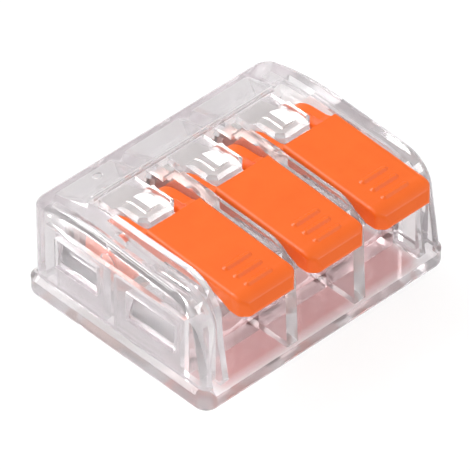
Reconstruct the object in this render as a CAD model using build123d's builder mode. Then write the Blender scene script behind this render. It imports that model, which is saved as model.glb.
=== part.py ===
"""Lever wire connector for three conductors: clear housing and base, levers, clamp springs, bar.

Millimetres. X runs along the row of wire ways, -Y is the side where the wires go in, +Z is up.
The origin is the middle of the base's underside.
"""

import os
from math import atan2, cos, degrees, hypot, radians, sin, tan

from build123d import *

# --- driving dimensions -----------------------------------------------------------------

PITCH = 5.6  # from one wire way to the next
WAYS = (-PITCH, 0.0, PITCH)
WAY_HALF = 2.35  # half of a chamber's width, which leaves a 0.9 partition between two

# base: a shallow tray that the housing stands on
BASE_HALF_X = 10.05
BASE_HALF_Y = 7.9
LIP_TOP = 1.6
FLOOR_TOP = 1.2
BASE_CORNER = 0.95
BASE_UNDER_FILLET = 0.45
FRONT_EDGE_CHAMFER = 0.35

# housing
WALL_OUT = 9.8
WALL_IN = 9.2
BACK_OUT = 7.65
BACK_IN = 7.05
FRONT_OUT = -7.65
END_PARTITION = (PITCH + WAY_HALF, 8.4)  # its two faces
END_PARTITION_TOP = 8.45
MIDDLE_PARTITION_TOP = 8.4
PARTITION_GROOVE_HALF = 0.22  # groove along the top of a partition between two levers
PARTITION_GROOVE_Y = (-6.4, -1.25)
PARTITION_GROOVE_FLOOR = 7.6
PARTITION_FOOT = 1.25
SLAB_FRONT = 4.38
SLAB_THICK = 0.75
RECESS_HALF_X = 7.4
RECESS_Z = 7.6
STEP_GROOVE_Y = (4.56, 4.7)  # fine groove along the slab's front
STEP_GROOVE_FOOT = 7.55
CEILING_CHAMFER = 0.35  # along the top corners of the chambers, under the slab
HOUSING_BACK_CORNER = 1.1
HOUSING_RIM_FILLET = 0.5
GRIP_SLOT = (3.6, 0.84)  # length and width of the shallow slot on top of each end wall
GRIP_SLOT_AT = (9.05, -4.1, 7.82)  # x of its middle, y of its middle, z where it starts
GRIP_SLOT_DEEP = 0.3
GRIP_SLOT_TAPER = 50
GATE_MARK = (-PITCH, 6.1, 7.52)  # shallow round mark on the rear slab
GATE_MARK_R = 0.32

# tongue that hangs over the spring in each way
TONGUE_HALF = 1.5
TONGUE_FRONT = 0.55
TONGUE_LOW = 7.15
TONGUE_TOP = 8.1
TONGUE_CORNER = 0.5
TONGUE_CHAMFER = 0.22
POCKET_Y = (1.25, 3.4)
POCKET_X = (-0.62, 0.1, 0.78)  # upright side, foot of the ramp, head of the ramp
POCKET_FLOOR = 7.7

# end cavities, which the base's side tabs rise into, and their snap windows
CAVITY_TOP = 5.9
CAVITY_Y = (-5.6, 6.4)
END_FRONT = -7.0  # front of the end block between the outer wall and the partition
WINDOW_FRONT = ((-4.95, -0.8), (3.05, 5.2))  # y, z
WINDOW_REAR = ((1.7, 5.4), (3.3, 5.5))
TAB_X = (8.5, 9.1)
TAB_FRONT = ((-5.1, 0.6), 5.5)  # y, top
TAB_REAR = ((1.5, 5.6), 5.6)
NOSE_OUT = 9.65
NOSE_GAP = 0.12
NOSE_STEP = 0.35

# lever and its pivot
PIVOT = (1.45, 5.75)  # y, z
LEVER_HALF = 2.25
ARM_IN = 1.6
DISC_R = 2.1
STUB_R = 0.55
STUB_END = 2.5
SOCKET_R = 0.6
SOCKET_END = 2.6
PLATE_BACK = -0.5
PLATE_UNDER = 7.5
PLATE_TOP_BACK = 8.62
PLATE_TOP_FRONT = 8.26
PLATE_TOP_END = -7.6  # y where the top starts to curve down to the tip
ARM_TOP = 8.25  # where an arm leaves the plate's back
HEEL = (0.35, 7.92)  # y, z of the arm's shoulder behind the plate
TIP_Y = -9.0
TIP_LOW = 6.95
TIP_CORNER = 0.62
TIP_SOFT = 0.45
EDGE_ROUND = 0.25
RELIEF_HALF_X = 1.55
RELIEF_Y = (-5.0, -1.3)
RELIEF_DEEP = 0.45
RIB_Y = (-5.9, -6.8, -7.7)
RIB_HALF = 1.2
RIB_WIDE = 0.66
RIB_HIGH = 0.12
RIB_TAPER = 57

# clamp spring: one strip, bent to a bow at the front, whose free leg swings up as a lever opens
STRIP = 0.3
STRIP_HALF = 1.4
BOW = (-1.35, 6.25)  # y, z of the bow's centre, about which the leg turns
BOW_R = 0.65
BOW_END = 240.0  # degrees round the bow, from +Y, where the fixed part stops
LEG_TILT = -30.0
LEG_LONG = 4.37
LEG_GAP = 0.03
SPRING_BACK = 6.1
SPRING_FOOT = 2.9
WING_AT = 1.6  # along the leg
WING_LONG = 0.5
WING_END = 2.1
FLEX_RATIO = 0.38  # leg's turn for each degree of the lever's
LEVER_TRAVEL = 90.0
CAM_SLOT = 0.8
CAM_RUN_OUT = 20.0  # degrees of lever travel that the slot goes on for past rest, to the rim

# current bar
BAR_Z = (2.6, 3.3)
BAR_Y = (0.95, 5.75)
BAR_HALF_X = 7.6
BAR_SLOT_Y = (0.8, 6.5)
BAR_SLOT_TOP = 3.4
UPSTAND_Y = (5.35, 5.85)
UPSTAND_HALF = 1.1
UPSTAND_TOP = 5.3
PAD_HALF = 1.6

# wire entry in the base
ENTRY_BLOCK_Y = (-5.4, -4.4)
ENTRY_BLOCK_TOP = 3.1
ENTRY_HALF = 2.25
FUNNEL_Y = (-4.4, -3.0)
FUNNEL_TOP = 7.0
BORE_R = 1.6
BORE_Z = 4.9
CONE_DEEP = 0.5

os.makedirs("parts", exist_ok=True)


# --- helpers ----------------------------------------------------------------------------


def block(x, y, z, mode=Mode.ADD):
    """A box from its low and high x, y and z."""
    with Locations(((x[0] + x[1]) / 2, (y[0] + y[1]) / 2, (z[0] + z[1]) / 2)):
        Box(x[1] - x[0], y[1] - y[0], z[1] - z[0], mode=mode)


def section(x, draw):
    """The closed outline that draw() traces in y and z, standing at one x."""
    with BuildSketch(Plane.YZ.offset(x)) as outline:
        with BuildLine():
            draw()
        make_face()
    return outline.sketch


def both_ends(low, high):
    """The same stretch of x at the left and the right end."""
    return ((-high, -low), (low, high))


def turned(point, centre, angle):
    """A (y, z) point turned about a centre, in degrees from +Y towards +Z."""
    dy, dz = point[0] - centre[0], point[1] - centre[1]
    c, s = cos(radians(angle)), sin(radians(angle))
    return (centre[0] + c * dy - s * dz, centre[1] + s * dy + c * dz)


def along(point, angle, distance):
    return (point[0] + distance * cos(radians(angle)), point[1] + distance * sin(radians(angle)))


LEG_START = along(BOW, BOW_END, BOW_R)
WING = along(LEG_START, LEG_TILT, WING_AT)


def cam_point(open_angle):
    """Where the leg's wing is in the lever's own frame, with the lever open by an angle."""
    lifted = turned(WING, BOW, FLEX_RATIO * max(open_angle, 0.0))
    if open_angle < 0:
        reach = hypot(WING[0] - PIVOT[0], WING[1] - PIVOT[1]) * (1 - open_angle / 60)
        bearing = degrees(atan2(WING[1] - PIVOT[1], WING[0] - PIVOT[0]))
        lifted = along(PIVOT, bearing, reach)
    return turned(lifted, PIVOT, open_angle)


# --- housing ----------------------------------------------------------------------------


def housing_outline():
    """Side view of the whole housing: upright back, crowned top, front curving down."""
    back = Line((BACK_OUT, LIP_TOP), (BACK_OUT, 7.05))
    roof = ThreePointArc(back @ 1, (4.7, 7.83), (1.6, 8.05))
    top = Line(roof @ 1, (-4.6, 7.75))
    brow = ThreePointArc(top @ 1, (-6.3, 7.04), (-7.03, 5.4))
    front = Line(brow @ 1, (FRONT_OUT, LIP_TOP))
    Line(front @ 1, back @ 0)


def end_partition_outline():
    """Side view of the wall beside an end lever, which comes up flush with the lever."""
    rear = Line((3.6, 6.5), (1.9, END_PARTITION_TOP))
    top = Line(rear @ 1, (-4.5, END_PARTITION_TOP))
    brow = ThreePointArc(top @ 1, (-6.25, 7.72), (-7.05, 6.3))
    front = Line(brow @ 1, (-7.4, PARTITION_FOOT))
    foot = Line(front @ 1, (6.9, PARTITION_FOOT))
    back = Line(foot @ 1, (6.9, 6.5))
    Line(back @ 1, rear @ 0)


def middle_partition_outline():
    """Side view of the wall between two ways, high beside the pivots and low beside the plates."""
    rear = Line((3.6, 6.5), (2.1, MIDDLE_PARTITION_TOP))
    crest = Line(rear @ 1, (-0.45, MIDDLE_PARTITION_TOP))
    step = Line(crest @ 1, (-0.9, 8.3))
    top = Line(step @ 1, (-5.2, 8.15))
    brow = ThreePointArc(top @ 1, (-6.8, 7.5), (-7.5, 5.9))
    front = Line(brow @ 1, (-7.72, PARTITION_FOOT))
    foot = Line(front @ 1, (6.9, PARTITION_FOOT))
    back = Line(foot @ 1, (6.9, 6.5))
    Line(back @ 1, rear @ 0)


def under_slab_outline():
    """Side view of the space for the springs' rear bends, under the rear slab."""
    low = Line((SLAB_FRONT - 0.1, 0), (BACK_IN, 0))
    back = Line(low @ 1, (BACK_IN, 6.25))
    slope = Line(back @ 1, (SLAB_FRONT - 0.1, 7.86 - SLAB_THICK))
    Line(slope @ 1, low @ 0)


def tongue_outline():
    """Side view of a tongue: level over the pivot, then down to the slab's foot."""
    under = Line((TONGUE_FRONT, TONGUE_LOW), (SLAB_FRONT + 0.3, TONGUE_LOW - 0.15))
    back = Line(under @ 1, (SLAB_FRONT + 0.3, RECESS_Z))
    low = Line(back @ 1, (3.15, RECESS_Z + 0.05))
    crown = ThreePointArc(low @ 1, (2.8, 7.92), (2.3, TONGUE_TOP))
    top = Line(crown @ 1, (TONGUE_FRONT, TONGUE_TOP - 0.05))
    Line(top @ 1, under @ 0)


def tongue_plan(way):
    """Plan view of a tongue, with its front corners cut off."""
    with BuildSketch() as plan:
        with Locations((way, (TONGUE_FRONT + SLAB_FRONT + 0.3) / 2)):
            Rectangle(2 * TONGUE_HALF, SLAB_FRONT + 0.3 - TONGUE_FRONT)
        chamfer(plan.vertices().group_by(Axis.Y)[0], length=TONGUE_CORNER)
    return plan.sketch


def pocket_outline():
    """Front view of a tongue's pocket: one upright side and one long ramp, about x = 0."""
    upright, foot, head = POCKET_X
    top = TONGUE_TOP + 0.1
    Polyline((upright, top), (upright, POCKET_FLOOR), (foot, POCKET_FLOOR), (head, top), close=True)


def tongue(way):
    """A tongue with bevelled edges and its pocket, ready to join the rear slab."""
    with BuildPart() as one:
        extrude(section(way - TONGUE_HALF, tongue_outline), amount=2 * TONGUE_HALF)
        extrude(tongue_plan(way), amount=10, mode=Mode.INTERSECT)
        rim = one.edges().filter_by(lambda edge: edge.center().Z > TONGUE_TOP - 0.2)
        chamfer(rim.filter_by(lambda edge: edge.center().Y < 2.25), length=TONGUE_CHAMFER)
        with BuildSketch(Plane(origin=(way, POCKET_Y[1], 0), x_dir=(1, 0, 0), z_dir=(0, -1, 0))):
            with BuildLine():
                pocket_outline()
            make_face()
        extrude(amount=POCKET_Y[1] - POCKET_Y[0], mode=Mode.SUBTRACT)
    return one.part


with BuildPart() as housing:
    # outer form: the side view drawn out, its back corners and then its whole rim rounded
    extrude(section(-WALL_OUT, housing_outline), amount=2 * WALL_OUT)
    fillet(housing.edges().filter_by(Axis.Z).group_by(Axis.Y)[-1], radius=HOUSING_BACK_CORNER)
    ends = housing.faces().sort_by(Axis.X)
    rim = [
        edge
        for edge in housing.edges()
        if edge.center().Z > LIP_TOP + 0.01
        and edge not in housing.edges().filter_by(Axis.Z)
        and (edge in ends[0].edges() + ends[-1].edges() or edge.center().Y > BACK_OUT - 0.5)
    ]
    fillet(rim, radius=HOUSING_RIM_FILLET)
    # shallow slot on top of each end wall, and the round mark on the slab
    for side in (-1, 1):
        with BuildSketch(Plane.XY.offset(GRIP_SLOT_AT[2])):
            with Locations((side * GRIP_SLOT_AT[0], GRIP_SLOT_AT[1])):
                SlotOverall(*GRIP_SLOT, rotation=90)
        extrude(amount=-GRIP_SLOT_DEEP, taper=GRIP_SLOT_TAPER, mode=Mode.SUBTRACT)
    with Locations(GATE_MARK):
        Cylinder(GATE_MARK_R, 0.2, mode=Mode.SUBTRACT)
    # recess across the top, in front of the rear slab
    block((-RECESS_HALF_X, RECESS_HALF_X), (2.9, SLAB_FRONT), (RECESS_Z, 9), Mode.SUBTRACT)
    # walls between the ways and beside the end levers, each on its own outline
    for side in (-1, 1):
        for low, high, outline in (
            (WAY_HALF, PITCH - WAY_HALF, middle_partition_outline),
            (END_PARTITION[0], END_PARTITION[1], end_partition_outline),
        ):
            extrude(section(min(side * low, side * high), outline), amount=high - low)
    # chambers, open at the front and the top, and running back under the slab
    for way in WAYS:
        chamber = (way - WAY_HALF, way + WAY_HALF)
        block(chamber, (-9, SLAB_FRONT), (0, 10), Mode.SUBTRACT)
        extrude(
            section(chamber[0], under_slab_outline), amount=2 * WAY_HALF, mode=Mode.SUBTRACT
        )
    ceiling = [
        edge
        for edge in housing.edges()
        if SLAB_FRONT < edge.center().Y < BACK_IN
        and 6.4 < edge.center().Z < 7.1
        and any(abs(abs(edge.center().X - way) - WAY_HALF) < 0.01 for way in WAYS)
    ]
    chamfer(ceiling, length=CEILING_CHAMFER)
    # fine groove along the slab's front
    block((-RECESS_HALF_X, RECESS_HALF_X), STEP_GROOVE_Y, (STEP_GROOVE_FOOT, 9), Mode.SUBTRACT)
    # end cavities, and the space between each outer wall and its partition at the front
    for low, high in both_ends(END_PARTITION[1], WALL_IN):
        block((low, high), CAVITY_Y, (0, CAVITY_TOP), Mode.SUBTRACT)
        block((low, high), (-9, END_FRONT), (0, 10), Mode.SUBTRACT)
    # snap windows through the outer walls
    for low, high in both_ends(WALL_IN - 0.1, WALL_OUT + 0.1):
        block((low, high), *WINDOW_FRONT, Mode.SUBTRACT)
        block((low, high), *WINDOW_REAR, Mode.SUBTRACT)
    # slot in the partitions for the current bar
    block((-BAR_HALF_X, BAR_HALF_X), BAR_SLOT_Y, (0, BAR_SLOT_TOP), Mode.SUBTRACT)
    # groove along the top of each partition between two levers
    for side in (-1, 1):
        edges = (side * PITCH / 2 - PARTITION_GROOVE_HALF, side * PITCH / 2 + PARTITION_GROOVE_HALF)
        block(edges, PARTITION_GROOVE_Y, (PARTITION_GROOVE_FLOOR, 9), Mode.SUBTRACT)
    # tongues
    for way in WAYS:
        add(tongue(way))
    # blind sockets for the levers' stubs
    for way in WAYS:
        for side in (-1, 1):
            with BuildSketch(Plane.YZ.offset(way + side * (WAY_HALF - 0.1))):
                with Locations(PIVOT):
                    Circle(SOCKET_R)
            extrude(amount=side * (SOCKET_END - WAY_HALF + 0.1), mode=Mode.SUBTRACT)


housing.part.label = "housing"
export_step(housing.part, "parts/housing.step")


# --- base -------------------------------------------------------------------------------


def snap_nose(window_z, side, y_back):
    """Wedge on a side tab, square below and sloping in towards its top, standing at one y."""
    low, high = window_z[0] + NOSE_GAP, window_z[1] - 2 * NOSE_GAP
    wedge = [
        (TAB_X[1] - 0.2, high),
        (TAB_X[1], high),
        (NOSE_OUT, low + NOSE_STEP),
        (NOSE_OUT, low),
        (TAB_X[1] - 0.2, low),
    ]
    with BuildSketch(Plane(origin=(0, y_back, 0), x_dir=(1, 0, 0), z_dir=(0, -1, 0))) as nose:
        with BuildLine():
            Polyline(*[(side * x, z) for x, z in wedge], close=True)
        make_face()
    return nose.sketch


with BuildPart() as base:
    # tray
    with BuildSketch():
        RectangleRounded(2 * BASE_HALF_X, 2 * BASE_HALF_Y, BASE_CORNER)
    extrude(amount=LIP_TOP)
    fillet(base.faces().sort_by(Axis.Z)[0].edges(), radius=BASE_UNDER_FILLET)
    chamfer(base.faces().sort_by(Axis.Z)[-1].edges().sort_by(Axis.Y)[0], length=FRONT_EDGE_CHAMFER)
    block((-WALL_IN, WALL_IN), (-9, BACK_IN), (FLOOR_TOP, 3), Mode.SUBTRACT)
    # side tabs: the tab's stem over its whole width, the nose only in its window
    for side in (-1, 1):
        for (window_y, window_z), (tab_y, top) in (
            (WINDOW_FRONT, TAB_FRONT),
            (WINDOW_REAR, TAB_REAR),
        ):
            stem = sorted((side * TAB_X[0], side * TAB_X[1]))
            block(stem, tab_y, (FLOOR_TOP - 0.2, top))
            nose_y = (window_y[0] + NOSE_GAP, window_y[1] - NOSE_GAP)
            extrude(snap_nose(window_z, side, nose_y[1]), amount=nose_y[1] - nose_y[0])
    for way in WAYS:
        # low front panel, funnel wall and the pad under the current bar
        entry = (way - ENTRY_HALF, way + ENTRY_HALF)
        block(entry, ENTRY_BLOCK_Y, (FLOOR_TOP - 0.2, ENTRY_BLOCK_TOP))
        block(entry, FUNNEL_Y, (FLOOR_TOP - 0.2, FUNNEL_TOP))
        block((way - PAD_HALF, way + PAD_HALF), BAR_Y, (FLOOR_TOP - 0.2, BAR_Z[0]))
        with Locations(
            Location(Plane(origin=(way, FUNNEL_Y[0], BORE_Z), x_dir=(1, 0, 0), z_dir=(0, -1, 0)))
        ):
            CounterSinkHole(BORE_R, BORE_R + CONE_DEEP, depth=None, counter_sink_angle=90)

base.part.label = "base"
export_step(base.part, "parts/base.step")


# --- current bar ------------------------------------------------------------------------

with BuildPart() as current_bar:
    block((-BAR_HALF_X, BAR_HALF_X), BAR_Y, BAR_Z)
    for way in WAYS:
        block((way - UPSTAND_HALF, way + UPSTAND_HALF), UPSTAND_Y, (BAR_Z[0], UPSTAND_TOP))
    fillet(current_bar.edges().filter_by(Axis.Z).group_by(Axis.X)[0], radius=0.4)
    fillet(current_bar.edges().filter_by(Axis.Z).group_by(Axis.X)[-1], radius=0.4)

current_bar.part.label = "current_bar"
export_step(current_bar.part, "parts/current_bar.step")


# --- clamp springs ----------------------------------------------------------------------


def spring_route():
    """The strip's middle line from its foot behind the bar, over the top and round the bow."""
    foot = Line((SPRING_BACK, SPRING_FOOT), (SPRING_BACK, 5.2))
    rear = TangentArc(foot @ 1, (5.3, 6.17), tangent=foot % 1)
    slope = Line(rear @ 1, (2.0, BOW[1] + BOW_R))
    crown = Line(slope @ 1, (BOW[0], BOW[1] + BOW_R))
    CenterArc(BOW, BOW_R, 90, BOW_END - 90)


def strip_section(x):
    """The strip's own thickness along its route, standing at one x."""
    with BuildSketch(Plane.YZ.offset(x)) as strip:
        with BuildLine() as route:
            spring_route()
        trace(route.line, line_width=STRIP)
    return strip.sketch


def clamp_leg_outline():
    """Side view of the free leg, from its gap at the bow to its square-cut tip."""
    start = along(LEG_START, LEG_TILT, LEG_GAP)
    with BuildSketch(Plane.YZ) as leg:
        with BuildLine() as line:
            Line(start, along(LEG_START, LEG_TILT, LEG_LONG))
        trace(line.line, line_width=STRIP)
    return leg.sketch_local


def clamp_spring(way):
    """The fixed part of one spring: foot, rear bend, top leg and bow."""
    with BuildPart() as spring:
        extrude(strip_section(way - STRIP_HALF), amount=2 * STRIP_HALF)
    return spring.part


def clamp_leg(way):
    """The leg that presses a wire on the bar, with the two wings that the lever lifts it by."""
    with BuildPart() as leg:
        with BuildSketch(Plane.YZ.offset(way - STRIP_HALF)):
            add(clamp_leg_outline())
        extrude(amount=2 * STRIP_HALF)
        with BuildSketch(Plane.YZ.offset(way - WING_END)):
            with Locations(WING):
                Rectangle(WING_LONG, STRIP, rotation=LEG_TILT)
        extrude(amount=2 * WING_END)
    return leg.part


for number, way in enumerate(WAYS, start=1):
    with BuildPart() as spring:
        add(clamp_spring(way))
    spring.part.label = f"clamp_spring_{number}"
    export_step(spring.part, f"parts/clamp_spring_{number}.step")
    with BuildPart() as leg:
        add(clamp_leg(way))
    leg.part.label = f"clamp_leg_{number}"
    export_step(leg.part, f"parts/clamp_leg_{number}.step")


# --- levers -----------------------------------------------------------------------------


def plate_outline():
    """Side view of the thumb plate: upright back, sloping top, drooping tip with a blunt front."""
    back = Line((PLATE_BACK, PLATE_UNDER), (PLATE_BACK, PLATE_TOP_BACK))
    top = Line(back @ 1, (PLATE_TOP_END, PLATE_TOP_FRONT))
    droop = ThreePointArc(top @ 1, (-8.25, 8.18), (-8.75, 7.9))
    front = Line(droop @ 1, (TIP_Y, 7.3))
    chin = ThreePointArc(front @ 1, (-8.92, 7.05), (-8.7, TIP_LOW))
    low = Line(chin @ 1, (-7.2, TIP_LOW))
    throat = ThreePointArc(low @ 1, (-6.4, 7.3), (-5.3, PLATE_UNDER))
    Line(throat @ 1, back @ 0)


def arm_outline():
    """Side view of an arm, which joins the plate's back corner to the disc."""
    with BuildSketch(Plane.YZ) as arm:
        with BuildLine():
            Polyline(
                (PLATE_BACK - 2.0, PLATE_UNDER + 0.2),
                (PLATE_BACK, ARM_TOP),
                HEEL,
                along(PIVOT, 85, DISC_R),
                PIVOT,
                along(PIVOT, 175, DISC_R),
                close=True,
            )
        make_face()
        with Locations(PIVOT):
            Circle(DISC_R)
    return arm.sketch_local


def cam_slot():
    """The slot in a disc that carries the leg's wing up as the lever opens."""
    stops = (-CAM_RUN_OUT, 0, LEVER_TRAVEL / 3, 2 * LEVER_TRAVEL / 3, LEVER_TRAVEL)
    with BuildSketch(Plane.YZ) as slot:
        with BuildLine() as path:
            Spline(*[cam_point(angle) for angle in stops])
        trace(path.line, line_width=CAM_SLOT)
        with Locations(cam_point(LEVER_TRAVEL)):
            Circle(CAM_SLOT / 2)
    return slot.sketch_local


def plate_plan(way):
    """Plan view of a thumb plate, with its tip's corners cut off and softened."""
    with BuildSketch() as plan:
        with Locations((way, (TIP_Y + 1) / 2)):
            Rectangle(2 * LEVER_HALF, 1 - TIP_Y)
        chamfer(plan.vertices().group_by(Axis.Y)[0], length=TIP_CORNER)
        fillet(plan.vertices().group_by(Axis.Y)[0:2], radius=TIP_SOFT)
    return plan.sketch


def lever(way):
    slope = atan2(PLATE_TOP_BACK - PLATE_TOP_FRONT, PLATE_BACK - PLATE_TOP_END)
    with BuildPart() as one:
        # thumb plate with a hollow underside
        extrude(section(way - LEVER_HALF, plate_outline), amount=2 * LEVER_HALF)
        extrude(plate_plan(way), amount=10, mode=Mode.INTERSECT)
        upper = [
            edge
            for edge in one.edges()
            if edge.center().Z > 7.35
            and edge.center().Y < PLATE_BACK - 0.2
            and (abs(edge.center().X - way) > 1.2 or edge.center().Y < TIP_Y + 0.5)
        ]
        fillet(upper, radius=EDGE_ROUND)
        relief = (way - RELIEF_HALF_X, way + RELIEF_HALF_X)
        block(relief, RELIEF_Y, (PLATE_UNDER - 0.5, PLATE_UNDER + RELIEF_DEEP), Mode.SUBTRACT)
        # thumb ribs
        for y in RIB_Y:
            foot = (way, y, PLATE_TOP_BACK + (y - PLATE_BACK) * tan(slope) - 0.05)
            with BuildSketch(Plane(origin=foot, x_dir=(1, 0, 0), z_dir=(0, -sin(slope), cos(slope)))):
                SlotOverall(2 * RIB_HALF, RIB_WIDE)
            extrude(amount=RIB_HIGH + 0.05, taper=RIB_TAPER)
        # arms and discs, cut by the cam slots, and the stubs they turn on
        for side in (-1, 1):
            inner = way + side * ARM_IN
            with BuildSketch(Plane.YZ.offset(inner)):
                add(arm_outline())
            extrude(amount=side * (LEVER_HALF - ARM_IN))
            with BuildSketch(Plane.YZ.offset(inner)):
                add(cam_slot())
            extrude(amount=side * (LEVER_HALF - ARM_IN), mode=Mode.SUBTRACT)
            with BuildSketch(Plane.YZ.offset(inner)):
                with Locations(PIVOT):
                    Circle(STUB_R)
            extrude(amount=side * (STUB_END - ARM_IN))
    return one.part


for number, way in enumerate(WAYS, start=1):
    with BuildPart() as one_lever:
        add(lever(way))
    one_lever.part.label = f"lever_{number}"
    export_step(one_lever.part, f"parts/lever_{number}.step")
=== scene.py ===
"""Looks of the lever wire connector: clear housing, rose-tinted base with painted shade in its ports,
orange levers, steel springs.
"""

from math import cos, pi, radians, sin

import bpy
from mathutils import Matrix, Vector


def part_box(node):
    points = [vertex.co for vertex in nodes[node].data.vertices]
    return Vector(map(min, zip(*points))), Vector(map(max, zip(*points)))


MM = 0.001
WAYS = (1, 2, 3)

# where painted shade, with a painted reflection of the orange levers, darkens the base inside the
# ports, over these stretches: from its ends, from its front edge, along y towards the entries,
# and down through its height
PORT_SHADE_FROM_ENDS = (1.6 * MM, 2.4 * MM)
PORT_SHADE_FROM_FRONT = (0.3 * MM, 0.9 * MM)
PORT_SHADE_Y = (-2.0 * MM, -4.0 * MM)
PORT_SHADE_Z = (3.4 * MM, 2.4 * MM)

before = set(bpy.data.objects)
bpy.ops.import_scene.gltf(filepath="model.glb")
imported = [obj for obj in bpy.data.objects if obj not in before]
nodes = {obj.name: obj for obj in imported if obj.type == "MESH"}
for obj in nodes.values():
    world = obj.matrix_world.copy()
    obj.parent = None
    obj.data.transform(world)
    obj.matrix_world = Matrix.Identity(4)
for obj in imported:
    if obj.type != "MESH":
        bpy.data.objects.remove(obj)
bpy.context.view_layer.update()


# --- node helpers -----------------------------------------------------------------------


def new_material(name):
    """An empty node material with its output, and the tree."""
    material = bpy.data.materials.new(name)
    material.use_nodes = True
    tree = material.node_tree
    tree.nodes.clear()
    output = tree.nodes.new("ShaderNodeOutputMaterial")
    return material, tree, output


def noise(tree, scale, detail=4.0, roughness=0.55, stretch=(1, 1, 1)):
    """Fine 3-D noise in object space, scale in features per millimetre."""
    place = tree.nodes.new("ShaderNodeTexCoord")
    mapping = tree.nodes.new("ShaderNodeMapping")
    mapping.inputs["Scale"].default_value = stretch
    texture = tree.nodes.new("ShaderNodeTexNoise")
    texture.inputs["Scale"].default_value = scale / MM
    texture.inputs["Detail"].default_value = detail
    texture.inputs["Roughness"].default_value = roughness
    tree.links.new(place.outputs["Object"], mapping.inputs["Vector"])
    tree.links.new(mapping.outputs["Vector"], texture.inputs["Vector"])
    return texture.outputs["Fac"]


def between(tree, factor, low, high):
    """A factor of 0 to 1 mapped to low to high."""
    node = tree.nodes.new("ShaderNodeMapRange")
    node.inputs["From Min"].default_value = 0.3
    node.inputs["From Max"].default_value = 0.7
    node.inputs["To Min"].default_value = low
    node.inputs["To Max"].default_value = high
    tree.links.new(factor, node.inputs["Value"])
    return node.outputs["Result"]


def tint(tree, factor, first, second):
    """A colour that goes from first to second with the factor."""
    ramp = tree.nodes.new("ShaderNodeValToRGB")
    ramp.color_ramp.elements[0].position = 0.3
    ramp.color_ramp.elements[0].color = (*first, 1)
    ramp.color_ramp.elements[1].position = 0.7
    ramp.color_ramp.elements[1].color = (*second, 1)
    tree.links.new(factor, ramp.inputs["Fac"])
    return ramp.outputs["Color"]


def bump(tree, height, strength, distance):
    """Normals that follow a height, as deep as the distance."""
    node = tree.nodes.new("ShaderNodeBump")
    node.inputs["Strength"].default_value = strength
    node.inputs["Distance"].default_value = distance
    tree.links.new(height, node.inputs["Height"])
    return node.outputs["Normal"]


# --- materials --------------------------------------------------------------------------


def paint_port_shade(tree, colour, shade_colour):
    """The colour, going over to painted shade with a painted orange reflection inside the ports, clear
    of the base's outer edges.
    """
    low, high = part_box("base")
    place = tree.nodes.new("ShaderNodeTexCoord")
    axes = tree.nodes.new("ShaderNodeSeparateXYZ")
    tree.links.new(place.outputs["Object"], axes.inputs["Vector"])
    across = tree.nodes.new("ShaderNodeMath")
    across.operation = "ABSOLUTE"
    tree.links.new(axes.outputs["X"], across.inputs[0])
    masks = []
    for source, outside, inside in (
        (across.outputs["Value"], high[0] - PORT_SHADE_FROM_ENDS[0], high[0] - PORT_SHADE_FROM_ENDS[1]),
        (axes.outputs["Y"], low[1] + PORT_SHADE_FROM_FRONT[0], low[1] + PORT_SHADE_FROM_FRONT[1]),
        (axes.outputs["Y"], *PORT_SHADE_Y),
        (axes.outputs["Z"], *PORT_SHADE_Z),
    ):
        mask = tree.nodes.new("ShaderNodeMapRange")
        mask.interpolation_type = "SMOOTHSTEP"
        mask.inputs["From Min"].default_value = outside
        mask.inputs["From Max"].default_value = inside
        tree.links.new(source, mask.inputs["Value"])
        masks.append(mask.outputs["Result"])
    port_shade_mask = masks[0]
    for mask in masks[1:]:
        product = tree.nodes.new("ShaderNodeMath")
        product.operation = "MULTIPLY"
        tree.links.new(port_shade_mask, product.inputs[0])
        tree.links.new(mask, product.inputs[1])
        port_shade_mask = product.outputs["Value"]
    # mixes in the painted shade and painted orange reflection where all masks meet inside the ports
    mix = tree.nodes.new("ShaderNodeMix")
    mix.data_type = "RGBA"
    tree.links.new(port_shade_mask, mix.inputs["Factor"])
    tree.links.new(colour, mix.inputs["A"])
    mix.inputs["B"].default_value = (*shade_colour, 1)
    return mix.outputs["Result"]


def clear_plastic(name, light, dark, roughness, clearness, port_shade=None):
    """Clear polycarbonate with a slight haze and faint flow lines from moulding."""
    material, tree, output = new_material(name)
    shader = tree.nodes.new("ShaderNodeBsdfPrincipled")
    shader.inputs["Transmission Weight"].default_value = clearness
    shader.inputs["IOR"].default_value = 1.56
    flow = noise(tree, 0.2, detail=2.0)
    colour = tint(tree, flow, light, dark)
    if port_shade:
        colour = paint_port_shade(tree, colour, port_shade)
    tree.links.new(colour, shader.inputs["Base Color"])
    tree.links.new(between(tree, flow, *roughness), shader.inputs["Roughness"])
    tree.links.new(bump(tree, flow, 0.05, 0.1 * MM), shader.inputs["Normal"])
    tree.links.new(shader.outputs["BSDF"], output.inputs["Surface"])
    return material


def lever_plastic():
    """Orange polyamide: satin gloss over a fine spark-eroded grain."""
    material, tree, output = new_material("orange_lever_plastic")
    shader = tree.nodes.new("ShaderNodeBsdfPrincipled")
    cloud = noise(tree, 0.6, detail=3.0)
    grain = noise(tree, 9.0, detail=5.0)
    colour = tint(tree, cloud, (0.94, 0.138, 0.004), (0.97, 0.153, 0.007))
    tree.links.new(colour, shader.inputs["Base Color"])
    tree.links.new(between(tree, grain, 0.36, 0.48), shader.inputs["Roughness"])
    tree.links.new(bump(tree, grain, 0.25, 0.02 * MM), shader.inputs["Normal"])
    shader.inputs["Specular IOR Level"].default_value = 0.35
    tree.links.new(shader.outputs["BSDF"], output.inputs["Surface"])
    return material


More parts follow.
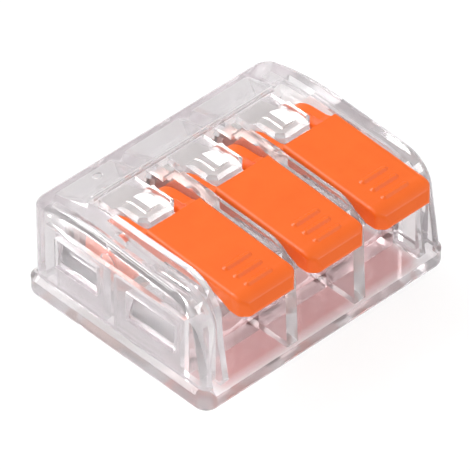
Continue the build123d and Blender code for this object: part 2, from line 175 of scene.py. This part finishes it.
def rolled_metal(name, first, second, roughness, stretch):
    """Rolled strip: fine lines along the rolling direction."""
    material, tree, output = new_material(name)
    shader = tree.nodes.new("ShaderNodeBsdfPrincipled")
    shader.inputs["Metallic"].default_value = 1.0
    lines = noise(tree, 4.0, detail=6.0, stretch=stretch)
    tree.links.new(tint(tree, lines, first, second), shader.inputs["Base Color"])
    tree.links.new(between(tree, lines, *roughness), shader.inputs["Roughness"])
    tree.links.new(bump(tree, lines, 0.06, 0.02 * MM), shader.inputs["Normal"])
    tree.links.new(shader.outputs["BSDF"], output.inputs["Surface"])
    return material


def floor_paint():
    """Matt floor that glows almost as white as the room, so that it shows no edge."""
    material, tree, output = new_material("studio_floor")
    shader = tree.nodes.new("ShaderNodeBsdfPrincipled")
    shader.inputs["Roughness"].default_value = 0.9
    shader.inputs["Specular IOR Level"].default_value = 0.0
    mottling = noise(tree, 0.02, detail=2.0)
    grey = tint(tree, mottling, (0.24, 0.24, 0.24), (0.26, 0.26, 0.26))
    tree.links.new(grey, shader.inputs["Base Color"])
    shader.inputs["Emission Color"].default_value = (1, 1, 1, 1)
    shader.inputs["Emission Strength"].default_value = 0.8
    tree.links.new(shader.outputs["BSDF"], output.inputs["Surface"])
    return material


def dress(node, material):
    """The one material of a CAD node."""
    nodes[node].data.materials.clear()
    nodes[node].data.materials.append(material)


housing_plastic = clear_plastic(
    "clear_housing_plastic", (0.835, 0.818, 0.826), (0.795, 0.772, 0.783), (0.02, 0.06), 0.89
)
base_plastic = clear_plastic(
    "clear_base_plastic",
    (0.85, 0.825, 0.835),
    (0.81, 0.775, 0.79),
    (0.03, 0.08),
    0.88,
    # painted shade with a painted reflection of the orange levers, deep inside the ports
    port_shade=(0.66, 0.40, 0.40),
)
orange = lever_plastic()
ROLLED_ALONG_X = (0.05, 1, 1)
steel = rolled_metal(
    "spring_steel", (0.66, 0.64, 0.63), (0.74, 0.72, 0.70), (0.3, 0.4), ROLLED_ALONG_X
)
copper = rolled_metal(
    "tinned_copper", (0.74, 0.52, 0.46), (0.86, 0.70, 0.64), (0.25, 0.38), ROLLED_ALONG_X
)

dress("housing", housing_plastic)
dress("base", base_plastic)
dress("current_bar", copper)
for number in WAYS:
    dress(f"lever_{number}", orange)
    dress(f"clamp_spring_{number}", steel)
    dress(f"clamp_leg_{number}", steel)

# the clear mouldings cast no shadow, so that the light reaches what they hold
for node in ("housing", "base"):
    nodes[node].visible_shadow = False

# --- stage ------------------------------------------------------------------------------

FLOOR_SIZE = 4.0
FLOOR_GAP = 0.02 * MM
ROOM_WHITE = 0.78
LAMP_DISTANCE = 0.15

bpy.ops.mesh.primitive_plane_add(size=FLOOR_SIZE, location=(0, 0, -FLOOR_GAP))
floor = bpy.context.object
floor.name = "studio_floor"
floor.data.materials.append(floor_paint())

world = bpy.data.worlds.new("studio")
bpy.context.scene.world = world
world.use_nodes = True
world.node_tree.nodes["Background"].inputs["Color"].default_value = (1, 1, 1, 1)
world.node_tree.nodes["Background"].inputs["Strength"].default_value = ROOM_WHITE


def softbox(name, azimuth, elevation, size, radiance, diffuse=True):
    """A square area lamp aimed at the object; without diffuse, only reflections show it."""
    lamp = bpy.data.lights.new(name, "AREA")
    lamp.shape = "SQUARE"
    lamp.size = size
    lamp.energy = radiance * pi * size**2
    box = bpy.data.objects.new(name, lamp)
    bpy.context.scene.collection.objects.link(box)
    a, e = radians(azimuth), radians(elevation)
    way = Vector((sin(a) * cos(e), -cos(a) * cos(e), sin(e)))
    box.location = way * LAMP_DISTANCE
    box.rotation_mode = "QUATERNION"
    box.rotation_quaternion = way.to_track_quat("Z", "Y")
    box.visible_diffuse = diffuse


softbox("key", -165, 52, 0.1, 3.0)
softbox("gleam_behind", -150, 46, 0.06, 13, diffuse=False)
softbox("gleam_side", -130, 31, 0.045, 7, diffuse=False)
softbox("gleam_front", 38, 34, 0.05, 8, diffuse=False)

# --- camera -----------------------------------------------------------------------------

VIEW_AZIMUTH = -43.76
VIEW_ELEVATION = 40.85
VIEW_DISTANCE = 0.4
VIEW_CENTRE = Vector((0, 0, 4 * MM))
SENSOR = 36.0
FRAME_SPAN = 28.093 * MM  # width that the frame covers at the object
FRAME_SHIFT = (-0.00315, -0.01885)  # of the frame's width
NEAR, FAR = 0.01, 10

camera_data = bpy.data.cameras.new("camera")
camera = bpy.data.objects.new("camera", camera_data)
bpy.context.scene.collection.objects.link(camera)
a, e = radians(VIEW_AZIMUTH), radians(VIEW_ELEVATION)
back = Vector((sin(a) * cos(e), -cos(a) * cos(e), sin(e)))
camera.location = VIEW_CENTRE + back * VIEW_DISTANCE
camera.rotation_mode = "QUATERNION"
camera.rotation_quaternion = (-back).to_track_quat("-Z", "Y")
camera_data.sensor_width = SENSOR
camera_data.lens = SENSOR * VIEW_DISTANCE / FRAME_SPAN
camera_data.shift_x, camera_data.shift_y = FRAME_SHIFT
camera_data.clip_start = NEAR
camera_data.clip_end = FAR
bpy.context.scene.camera = camera

# light goes through many walls before it leaves the clear mouldings
CLEAR_BOUNCES = 96
TRANSPARENT_BOUNCES = 24

scene = bpy.context.scene
scene.view_settings.view_transform = "Standard"
scene.cycles.max_bounces = CLEAR_BOUNCES
scene.cycles.transmission_bounces = CLEAR_BOUNCES
scene.cycles.glossy_bounces = CLEAR_BOUNCES
scene.cycles.transparent_max_bounces = TRANSPARENT_BOUNCES
